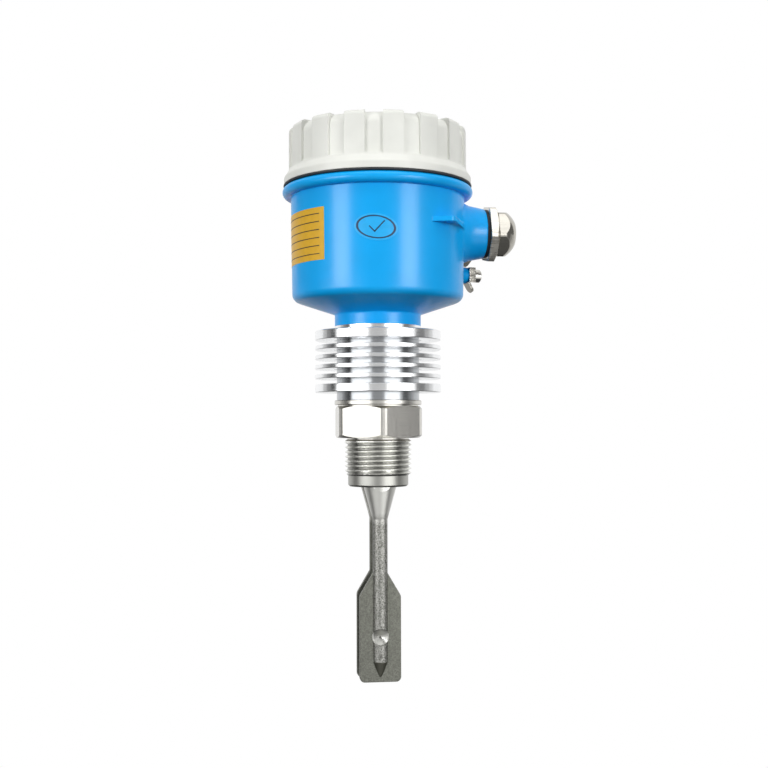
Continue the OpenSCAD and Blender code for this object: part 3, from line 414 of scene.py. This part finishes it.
def moulded(name, colour, roughness, grain=10 * UM, transmission=0.0):
    """Moulded rubber, plastic or fired ceramic with a fine skin."""
    look = Finish(name)
    look.set(Base_Color=look.mottled(colour, look.noise(scale=160, detail=3), dark=0.9, light=1.06))
    look.set(Roughness=look.varied(roughness, look.noise(scale=1200), share=0.15))
    look.set(Normal=look.bump(look.noise(scale=2200), grain, below=look.soft_edges(MOULDED_EDGE)))
    look.set(Transmission_Weight=transmission)
    return look.material


def printed_film(name, colour, roughness):
    """Printed label film with a faint grain."""
    look = Finish(name)
    look.set(Base_Color=look.mottled(colour, look.noise(scale=400, detail=3), dark=0.94, light=1.04))
    look.set(Roughness=roughness, Normal=look.bump(look.noise(scale=800), FILM_GRAIN))
    return look.material


def make_materials():
    """The record's material slots, and the materials that only the scene has."""
    steel = rgba(212, 210, 204)
    nickel = rgba(224, 220, 210)
    # Painted shade between the fins: the core there is darker than the bright aluminium, and darker still
    # inward
    shade_between_fins = PaintedShadeBand(
        low=18.7 * MM, high=52 * MM, root_r=12 * MM, crest_r=21.6 * MM,
        colour=rgba(178, 181, 184), roughness=0.12)
    # Painted shade in the process thread: darker toward its roots, full colour at its crests
    thread = PaintedShadeBand(
        low=-30 * MM, high=-1.5 * MM, root_r=15.1 * MM, crest_r=16.2 * MM,
        colour=rgba(240, 240, 235), roughness=0.2)
    return {
        "blue_paint": enamel(
            "blue_enamel", rgba(3, 168, 243), roughness=0.4, gloss=0.24, peel=4 * UM, edge=0.6 * MM),
        "white_paint": enamel(
            "white_enamel", rgba(229, 230, 224), roughness=0.5, gloss=0.3, peel=6 * UM, edge=0.4 * MM),
        "aluminium": turned(
            "bright_aluminium", rgba(246, 247, 248), roughness=0.16, groove=1.5 * UM, shade_band=shade_between_fins),
        "stainless": turned("turned_stainless", steel, roughness=0.2, groove=2 * UM),
        "threaded_stainless": turned(
            "threaded_stainless", steel, roughness=0.2, groove=2 * UM, shade_band=thread),
        "cast_stainless": cast_fork("cast_stainless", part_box("fork")[0].z),
        "nickel": milled("nickel_plate", shade(nickel, 0.66), roughness=0.14),
        "satin_nickel": milled("satin_nickel", nickel, roughness=0.32),
        "rubber": moulded("black_rubber", rgba(24, 27, 32), roughness=0.6, grain=20 * UM),
        "alumina": moulded("fired_alumina", rgba(240, 236, 224), roughness=0.55),
        "piezo": moulded("piezo_ceramic", rgba(176, 168, 142), roughness=0.5),
        "foil": turned("electrode_foil", rgba(222, 186, 106), roughness=0.25, groove=1 * UM),
        "lead_red": moulded("lead_insulation", rgba(186, 38, 34), roughness=0.35),
        "potting": moulded("potting_cup", rgba(40, 44, 47), roughness=0.5, grain=20 * UM),
        "board_green": moulded("solder_resist", rgba(18, 92, 58), roughness=0.32),
        "grey_plastic": moulded("grey_polyamide", rgba(96, 98, 100), roughness=0.5, grain=20 * UM),
        "red_plastic": moulded("red_switch_body", rgba(168, 36, 32), roughness=0.38),
        "white_plastic": moulded("white_acetal", rgba(236, 236, 230), roughness=0.35),
        "blue_plastic": moulded("blue_trimmer_body", rgba(38, 70, 168), roughness=0.38),
        "green_lens": moulded("green_lamp", rgba(70, 190, 92), roughness=0.12, transmission=0.5),
        "red_lens": moulded("red_lamp", rgba(222, 62, 40), roughness=0.12, transmission=0.5),
        "label_yellow": printed_film("label_yellow", rgba(222, 172, 30), roughness=0.4),
        "label_ink": printed_film("label_ink", rgba(52, 46, 30), roughness=0.5),
        "stamp_ink": printed_film("stamp_ink", rgba(10, 40, 84), roughness=0.45),
        "sticker_film": printed_film("sticker_film", rgba(30, 176, 244), roughness=0.3),
    }


# Meshes

def add_object(name, data):
    made = bpy.data.objects.new(name, data)
    bpy.context.scene.collection.objects.link(made)
    return made


def grid_mesh(name, rows, wrap_rows=False, wrap_columns=False):
    """A mesh of quads through rows of points."""
    mesh = bpy.data.meshes.new(name)
    columns = len(rows[0])
    faces = []
    for i in range(len(rows) if wrap_rows else len(rows) - 1):
        for j in range(columns if wrap_columns else columns - 1):
            here, there = i * columns, (i + 1) % len(rows) * columns
            beside = (j + 1) % columns
            faces.append((here + j, here + beside, there + beside, there + j))
    mesh.from_pydata([point for row in rows for point in row], [], faces)
    return mesh


def finish_mesh(mesh, close_ends=False):
    """Welds a mesh, closes its open ends if asked, turns its faces outward and shades it by angle."""
    work = bmesh.new()
    work.from_mesh(mesh)
    bmesh.ops.remove_doubles(work, verts=work.verts, dist=WELD_DISTANCE)
    if close_ends:
        bmesh.ops.holes_fill(work, edges=work.edges)
    bmesh.ops.recalc_face_normals(work, faces=work.faces)
    work.to_mesh(mesh)
    work.free()
    mesh.shade_smooth()
    mesh.set_sharp_from_angle(angle=SHARP_ANGLE)
    return mesh


def spaced(low, high, count):
    """Evenly spaced numbers with both ends."""
    return [low + (high - low) * i / (count - 1) for i in range(count)]


# Pieces with real threads

def thread_cutter(frame_matrix, radius, length, pitch, depth):
    """A helical V groove round a local +Z axis, open past both ends of the threaded length."""
    crest_flat = THREAD_FLAT * pitch
    root_flat = THREAD_FLAT * pitch
    slope = (pitch - crest_flat - root_flat) / depth
    outer = radius + THREAD_LIP * pitch
    turns = length / pitch
    rows = []
    for i in range(int(turns * THREAD_STEPS) + 1):
        angle = 2 * math.pi * i / THREAD_STEPS
        height = i / THREAD_STEPS * pitch
        run_out = max(0.0, 1 - (turns - i / THREAD_STEPS) / RUN_OUT_TURNS)
        root = radius - depth * (1 - run_out * RUN_OUT_SHARE)
        reach = root_flat + slope * (outer - root)
        ring = [(root, -root_flat / 2), (outer, -reach / 2), (outer, reach / 2), (root, root_flat / 2)]
        turn = Vector((math.cos(angle), math.sin(angle), 0))
        rows.append([frame_matrix @ (turn * r + Vector((0, 0, height + z))) for r, z in ring])
    groove = grid_mesh("thread_cutter", rows, wrap_columns=True)
    return add_object("thread_cutter", finish_mesh(groove, close_ends=True))


def cut_thread(node, name, frame_matrix, **sizes):
    """A copy of a CAD node with a real thread cut into it, which stands for the node."""
    piece = add_object(name, finish_mesh(node.data.copy()))
    cutter = thread_cutter(frame_matrix, **sizes)
    cut = piece.modifiers.new("thread", "BOOLEAN")
    cut.operation = "DIFFERENCE"
    cut.solver = "EXACT"
    cut.object = cutter
    depsgraph = bpy.context.evaluated_depsgraph_get()
    result = bpy.data.meshes.new_from_object(piece.evaluated_get(depsgraph))
    piece.modifiers.remove(cut)
    piece.data = finish_mesh(result)
    bpy.data.objects.remove(cutter)
    return piece


def make_threads(nodes, mounts):
    """Copies of the CAD pieces whose threads show, with the threads cut."""
    process = mounts["process_thread"]
    nose_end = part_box("process_nipple")[0].z
    nose_start = process["pos_m"][2]
    nipple = cut_thread(
        nodes["process_nipple"], "threaded_nipple", Matrix.Translation((0, 0, nose_end - PROCESS_PITCH)),
        radius=process["dims"]["r_mm"] * MM, length=nose_start - nose_end + PROCESS_PITCH,
        pitch=PROCESS_PITCH, depth=PROCESS_DEPTH)
    entry = Vector(mounts["cable_entry"]["pos_m"])
    hexagon_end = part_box("gland_nut")[0].x - GLAND_GAP
    thread_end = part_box("gland_body")[1].x
    inward = Matrix.Rotation(-math.pi / 2, 4, "Y")
    gland = cut_thread(
        nodes["gland_body"], "threaded_gland_body",
        Matrix.Translation((thread_end + GLAND_PITCH, 0, entry.z)) @ inward,
        radius=GLAND_THREAD_R, length=thread_end - hexagon_end + GLAND_PITCH,
        pitch=GLAND_PITCH, depth=GLAND_DEPTH)
    rim_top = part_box("housing")[1].z
    rim_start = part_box("cover_seal")[0].z
    downward = Matrix.Rotation(math.pi, 4, "X")
    housing = cut_thread(
        nodes["housing"], "threaded_housing", Matrix.Translation((0, 0, rim_top + COVER_PITCH)) @ downward,
        radius=RIM_R, length=rim_top - rim_start + COVER_PITCH, pitch=COVER_PITCH, depth=COVER_DEPTH)
    for piece, node in ((nipple, "process_nipple"), (gland, "gland_body"), (housing, "housing")):
        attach(piece, ROOT_BODY)
        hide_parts(node)
    return {"process_nipple": nipple, "gland_body": gland, "housing": housing}


# Labels on the housing

class Skin:
    """The housing's outer skin, which thin sheets are laid on."""

    def __init__(self, node):
        self.tree = BVHTree.FromObject(node, bpy.context.evaluated_depsgraph_get())

    def hit(self, direction, height):
        """The skin's point in a direction from the main axis, and that direction."""
        ray = Vector((math.cos(direction), math.sin(direction), 0))
        return self.tree.ray_cast(ray * SKIN_CLEAR + Vector((0, 0, height)), -ray)[0], ray

    def sheet(self, name, centre, height, rows, lift, thickness, wrap=False):
        """A thin closed sheet through rows of (distance to the right, distance up) from its middle."""
        radius = self.hit(centre, height)[0].xy.length
        top, bottom = [], []
        for row in rows:
            hits = [self.hit(centre + right / radius, height + up) for right, up in row]
            top.append([point + ray * (lift + thickness) for point, ray in hits])
            bottom.append([point + ray * lift for point, ray in hits])
        mesh = grid_mesh(name, top + bottom[::-1], wrap_rows=True, wrap_columns=wrap)
        return finish_mesh(mesh, close_ends=not wrap)


def bar(left, right, low, high):
    """Rows of points of a bar that follows the skin."""
    count = max(2, int((right - left) / BAR_STEP))
    return [[(x, y) for x in spaced(left, right, count)] for y in (low, high)]


def oval(half_w, half_h, scales, tilt):
    """Rows of points of an oval ring, or of a disc where the first scale is 0."""
    rows = []
    for scale in scales:
        row = []
        for i in range(OVAL_POINTS):
            x = scale * half_w * math.cos(2 * math.pi * i / OVAL_POINTS)
            y = scale * half_h * math.sin(2 * math.pi * i / OVAL_POINTS)
            row.append((x * math.cos(tilt) - y * math.sin(tilt), x * math.sin(tilt) + y * math.cos(tilt)))
        rows.append(row)
    return rows


def stroke(start, end, width):
    """Rows of points of a straight pen stroke."""
    along = (end - start).normalized() * width / 2
    side = Vector((-along.y, along.x))
    first, last = start - along, end + along
    return [[first.lerp(last, t) + side * s for t in spaced(0, 1, STROKE_POINTS)] for s in (-1, 1)]


def joined(name, meshes, material):
    """One object of several meshes, riding on the housing."""
    work = bmesh.new()
    for mesh in meshes:
        work.from_mesh(mesh)
    result = bpy.data.meshes.new(name)
    work.to_mesh(result)
    work.free()
    finish_mesh(result)
    result.materials.append(material)
    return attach(add_object(name, result), ROOT_BODY)


def make_side_label(skin, materials):
    """A yellow panel with ruled lines."""
    half_w, half_h = LABEL_WIDTH / 2, LABEL_HEIGHT / 2
    panel = skin.sheet(
        "panel", LABEL_DIRECTION, LABEL_MIDDLE, bar(-half_w, half_w, -half_h, half_h), 0, FILM)
    joined("side_label", [panel], materials["label_yellow"])
    end = half_w - LABEL_MARGIN
    rules = []
    for up in spaced(half_h - LABEL_MARGIN, LABEL_MARGIN - half_h, LABEL_RULES):
        line = bar(-end, end, up - RULE_WIDTH / 2, up + RULE_WIDTH / 2)
        rules.append(skin.sheet("rule", LABEL_DIRECTION, LABEL_MIDDLE, line, FILM, INK))
    joined("side_label_rules", rules, materials["label_ink"])


def make_sticker(skin, materials):
    """An oval sticker in nearly the housing's colour, printed with an outline and a tick."""
    def sheet(name, rows, lift, thickness, wrap=False):
        return skin.sheet(name, STAMP_DIRECTION, STAMP_MIDDLE, rows, lift, thickness, wrap)

    half_w, half_h = STAMP_WIDTH / 2, STAMP_HEIGHT / 2
    disc = oval(half_w + STAMP_HALO, half_h + STAMP_HALO, spaced(0, 1, OVAL_RINGS), STAMP_TILT)
    sticker = sheet("sticker", disc, 0, FILM, wrap=True)
    joined("inspection_sticker", [sticker], materials["sticker_film"])
    outline = oval(half_w, half_h, (1 - STAMP_LINE / half_h, 1), STAMP_TILT)
    start, corner, end = [Vector(point) * half_h for point in STAMP_TICK]
    print_meshes = [
        sheet("outline", outline, FILM, INK, wrap=True),
        sheet("tick_short", stroke(start, corner, STAMP_LINE), FILM, INK),
        sheet("tick_long", stroke(corner, end, STAMP_LINE), FILM, INK),
    ]
    joined("inspection_mark", print_meshes, materials["stamp_ink"])


# Stage

def toward(azimuth):
    """Unit vector from the main axis, turned from the camera's side to the right."""
    angle = math.radians(VIEW_AZIMUTH + azimuth)
    return Vector((math.sin(angle), -math.cos(angle), 0))


def aim(obj, target, roll=0.0):
    """Turns a lamp or the camera toward a point, with a roll in degrees."""
    turn = (Vector(target) - obj.location).to_track_quat("-Z", "Y").to_matrix()
    obj.rotation_euler = (turn @ Matrix.Rotation(math.radians(roll), 3, "Z")).to_euler()


def softbox(name, azimuth, distance, height, width, tall, power):
    """A rectangular lamp that looks at the main axis."""
    data = bpy.data.lights.new(name, "AREA")
    data.shape = "RECTANGLE"
    data.size = width
    data.size_y = tall
    data.energy = power
    light = add_object(name, data)
    light.location = toward(azimuth) * distance + Vector((0, 0, height))
    aim(light, (0, 0, LAMP_TARGET))


def card(name, start, end, low, high, level):
    """A curved studio card round the object that only reflections see."""
    around = [toward(azimuth) * CARD_DISTANCE for azimuth in spaced(start, end, CARD_POINTS)]
    rows = [[point + Vector((0, 0, z)) for point in around] for z in (low, high)]
    made = add_object(name, grid_mesh(name, rows))
    look = Finish(name)
    look.show(look.add("ShaderNodeEmission", Color=WHITE, Strength=level))
    made.data.materials.append(look.material)
    for ray in ("camera", "diffuse", "transmission", "volume_scatter", "shadow"):
        setattr(made, "visible_" + ray, False)


def floor_material():
    """Floor that the camera sees as white where no shadow falls, and that throws little light upward."""
    look = Finish("pale_floor")
    look.set(Base_Color=FLOOR_GREY, Roughness=1.0, Specular_IOR_Level=0.0)
    rays = look.add("ShaderNodeLightPath").outputs
    camera = rays["Is Camera Ray"]
    away = look.vector_math("LENGTH", look.place)["Value"]
    ahead = look.vector_math("DOT_PRODUCT", look.place, toward(0))["Value"]
    bright = look.math("MAXIMUM", look.spread(away, 0, 1, *FLOOR_FAR), look.spread(ahead, 0, 1, *FLOOR_AHEAD))
    mirrored = look.math("MULTIPLY", rays["Is Glossy Ray"], bright)
    glow = look.add("ShaderNodeEmission", Color=WHITE, Strength=look.math("ADD", camera, mirrored))
    seen = look.math("MULTIPLY", camera, look.spread(away, FLOOR_FOOT_SHARE, 1.0, *FLOOR_FOOT))
    unseen = look.math("MULTIPLY", look.math("SUBTRACT", 1.0, camera), FLOOR_UNSEEN_SHARE)
    share = look.math("ADD", seen, unseen)
    look.show(look.add("ShaderNodeMixShader", _0=share, _1=look.shader.outputs[0], _2=glow.outputs[0]))
    return look.material


def make_floor():
    rows = [[(x, y, FLOOR_Z) for x in (-FLOOR_HALF, FLOOR_HALF)] for y in (-FLOOR_HALF, FLOOR_HALF)]
    floor = add_object("floor", grid_mesh("floor", rows))
    floor.data.materials.append(floor_material())


def make_world():
    """White for the camera, reflections and clear lenses; a softer level for light on the object."""
    world = bpy.data.worlds.new("studio")
    bpy.context.scene.world = world
    sky = Graph(world)
    sky.tree.nodes.clear()
    rays = sky.add("ShaderNodeLightPath").outputs
    mirrored = sky.math("MAXIMUM", rays["Is Glossy Ray"], rays["Is Transmission Ray"])
    seen = sky.math("MAXIMUM", rays["Is Camera Ray"], mirrored)
    background = sky.add("ShaderNodeBackground", Color=WHITE, Strength=sky.spread(seen, AMBIENT, 1.0))
    sky.add("ShaderNodeOutputWorld", Surface=background.outputs[0])


def make_stage():
    make_world()
    bpy.context.scene.view_settings.view_transform = "Standard"
    make_floor()
    for name, sizes in SOFTBOXES.items():
        softbox(name, **sizes)
    for name, sizes in CARDS.items():
        card(name, *sizes)


def make_camera():
    data = bpy.data.cameras.new("camera")
    data.lens = LENS_MM
    data.sensor_width = SENSOR_MM
    camera = add_object("camera", data)
    camera.location = toward(0) * VIEW_DISTANCE + Vector((0, 0, VIEW_HEIGHT))
    right = Vector((-toward(0).y, toward(0).x, 0))
    aim(camera, right * VIEW_TARGET_RIGHT + Vector((0, 0, VIEW_TARGET_HEIGHT)), VIEW_ROLL)
    bpy.context.scene.camera = camera


def dress(obj, material):
    """Puts one material in all of an object's slots."""
    for slot in obj.material_slots:
        slot.material = material


def main():
    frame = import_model()
    nodes = frame["nodes"]
    record = frame["record"]
    mounts = {mount["name"]: mount for mount in record["mounts"]}
    make_camera()
    materials = make_materials()
    skin = Skin(nodes["housing"])
    threaded = make_threads(nodes, mounts)
    for part in record["subparts"]:
        dress(nodes[part["node"]], materials[part["material_slot"]])
        if part["node"] in threaded:
            finish = THREADED_LOOKS.get(part["node"], part["material_slot"])
            dress(threaded[part["node"]], materials[finish])
    make_side_label(skin, materials)
    make_sticker(skin, materials)
    make_stage()


main()
